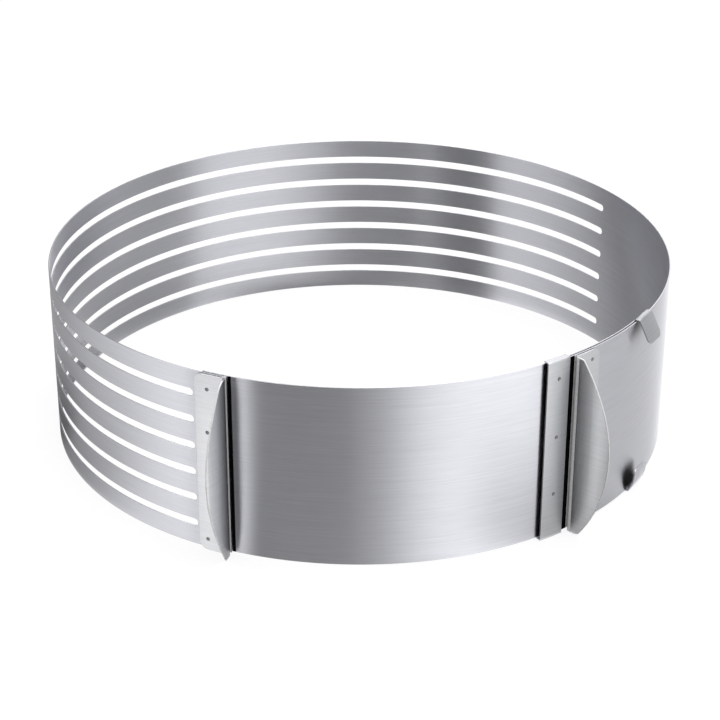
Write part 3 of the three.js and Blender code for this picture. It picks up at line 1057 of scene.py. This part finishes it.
def make_card(name, kind):
    """A card near the left handle, whose right end fades out."""
    bpy.ops.object.select_all(action="DESELECT")
    bpy.ops.mesh.primitive_plane_add(size=1, calc_uvs=True)
    card = named(name)
    (left_x, left_y), (right_x, right_y) = kind["ends"]
    low, high = CARD_HEIGHTS
    along = Vector((right_x - left_x, right_y - left_y, 0))
    up = Vector((0, 0, high - low))
    middle = Vector(((left_x + right_x) / 2, (left_y + right_y) / 2, (low + high) / 2))
    spread = Matrix((along, up, Vector((0, 0, 1)))).transposed().to_4x4()
    card.data.transform(Matrix.Translation(middle) @ spread)
    paper, nodes, links = blank_material(name + "_paper")
    place = nodes.new("ShaderNodeUVMap")
    split = nodes.new("ShaderNodeSeparateXYZ")
    links.new(place.outputs["UV"], split.inputs["Vector"])
    fade = nodes.new("ShaderNodeMapRange")
    fade.interpolation_type = "SMOOTHSTEP"
    fade.inputs["From Min"].default_value = kind["fade"][0]
    fade.inputs["From Max"].default_value = kind["fade"][1]
    fade.inputs["To Min"].default_value = 1.0
    fade.inputs["To Max"].default_value = 0.0
    links.new(split.outputs["X"], fade.inputs["Value"])
    glow = nodes.new("ShaderNodeEmission")
    glow.inputs["Strength"].default_value = kind["glow"]
    clear = nodes.new("ShaderNodeBsdfTransparent")
    mix = nodes.new("ShaderNodeMixShader")
    links.new(fade.outputs["Result"], mix.inputs["Fac"])
    links.new(clear.outputs["BSDF"], mix.inputs[1])
    links.new(glow.outputs["Emission"], mix.inputs[2])
    surface(nodes, links, mix.outputs["Shader"])
    paper.cycles.emission_sampling = "NONE"
    card.data.materials.append(paper)
    only_mirrored(card)


def make_shade(name, kind):
    """A thin grey gauze on the floor, which darkens what the bands mirror of it."""
    bpy.ops.object.select_all(action="DESELECT")
    middle = RING_AXIS + Vector(kind["middle"]) * MM
    radius = kind["radius"] * MM
    bpy.ops.mesh.primitive_circle_add(vertices=DISC_STEPS, radius=radius, fill_type="NGON", location=middle)
    shade = named(name)
    gauze, nodes, links = blank_material(name + "_gauze")
    place = nodes.new("ShaderNodeTexCoord")
    away = nodes.new("ShaderNodeVectorMath")
    away.operation = "LENGTH"
    links.new(place.outputs["Object"], away.inputs[0])
    fade = nodes.new("ShaderNodeMapRange")
    fade.interpolation_type = "SMOOTHSTEP"
    fade.inputs["From Min"].default_value = kind["core"] * radius
    fade.inputs["From Max"].default_value = radius
    fade.inputs["To Min"].default_value = kind["level"]
    fade.inputs["To Max"].default_value = 1.0
    links.new(away.outputs["Value"], fade.inputs["Value"])
    thin = nodes.new("ShaderNodeBsdfTransparent")
    links.new(fade.outputs["Result"], thin.inputs["Color"])
    surface(nodes, links, thin.outputs["BSDF"])
    shade.data.materials.append(gauze)
    only_mirrored(shade)


def make_world():
    world = bpy.data.worlds.new("white_studio")
    bpy.context.scene.world = world
    world.use_nodes = True
    nodes, links = world.node_tree.nodes, world.node_tree.links
    nodes.clear()
    soft = nodes.new("ShaderNodeBackground")
    soft.inputs["Color"].default_value = grey(SKY_TONE)
    white = nodes.new("ShaderNodeBackground")
    white.inputs["Color"].default_value = grey(1.0)
    mix = nodes.new("ShaderNodeMixShader")
    links.new(seen_white(nodes, links), mix.inputs["Fac"])
    links.new(soft.outputs["Background"], mix.inputs[1])
    links.new(white.outputs["Background"], mix.inputs[2])
    output = nodes.new("ShaderNodeOutputWorld")
    links.new(mix.outputs["Shader"], output.inputs["Surface"])


def make_lamp():
    light = bpy.data.lights.new("overhead_softbox", "AREA")
    light.shape = "DISK"
    light.size = LAMP_SIZE
    light.energy = LAMP_POWER
    lamp = bpy.data.objects.new("overhead_softbox", light)
    lamp.location = LAMP_PLACE
    lamp.rotation_euler = (-LAMP_PLACE).to_track_quat("-Z", "Y").to_euler()
    lamp.visible_camera = False
    bpy.context.collection.objects.link(lamp)


def make_camera():
    data = bpy.data.cameras.new("camera")
    data.lens = LENS
    data.sensor_width = SENSOR
    data.sensor_fit = "HORIZONTAL"
    data.clip_start = CAMERA_NEAR
    camera = bpy.data.objects.new("camera", data)
    camera.location = CAMERA_PLACE
    tilt = Matrix.Rotation(math.radians(90 - CAMERA_DOWN), 3, "X")
    camera.rotation_euler = (tilt @ Matrix.Rotation(math.radians(CAMERA_ROLL), 3, "Z")).to_euler()
    bpy.context.collection.objects.link(camera)
    bpy.context.scene.camera = camera


make_floor()
make_tent()
make_roof()
make_card("white_card", WHITE_CARD)
make_card("dark_card", DARK_CARD)
for shade_name, shade_kind in SHADES.items():
    make_shade(shade_name, shade_kind)
make_world()
make_lamp()
make_camera()
bpy.context.scene.view_settings.view_transform = "Standard"
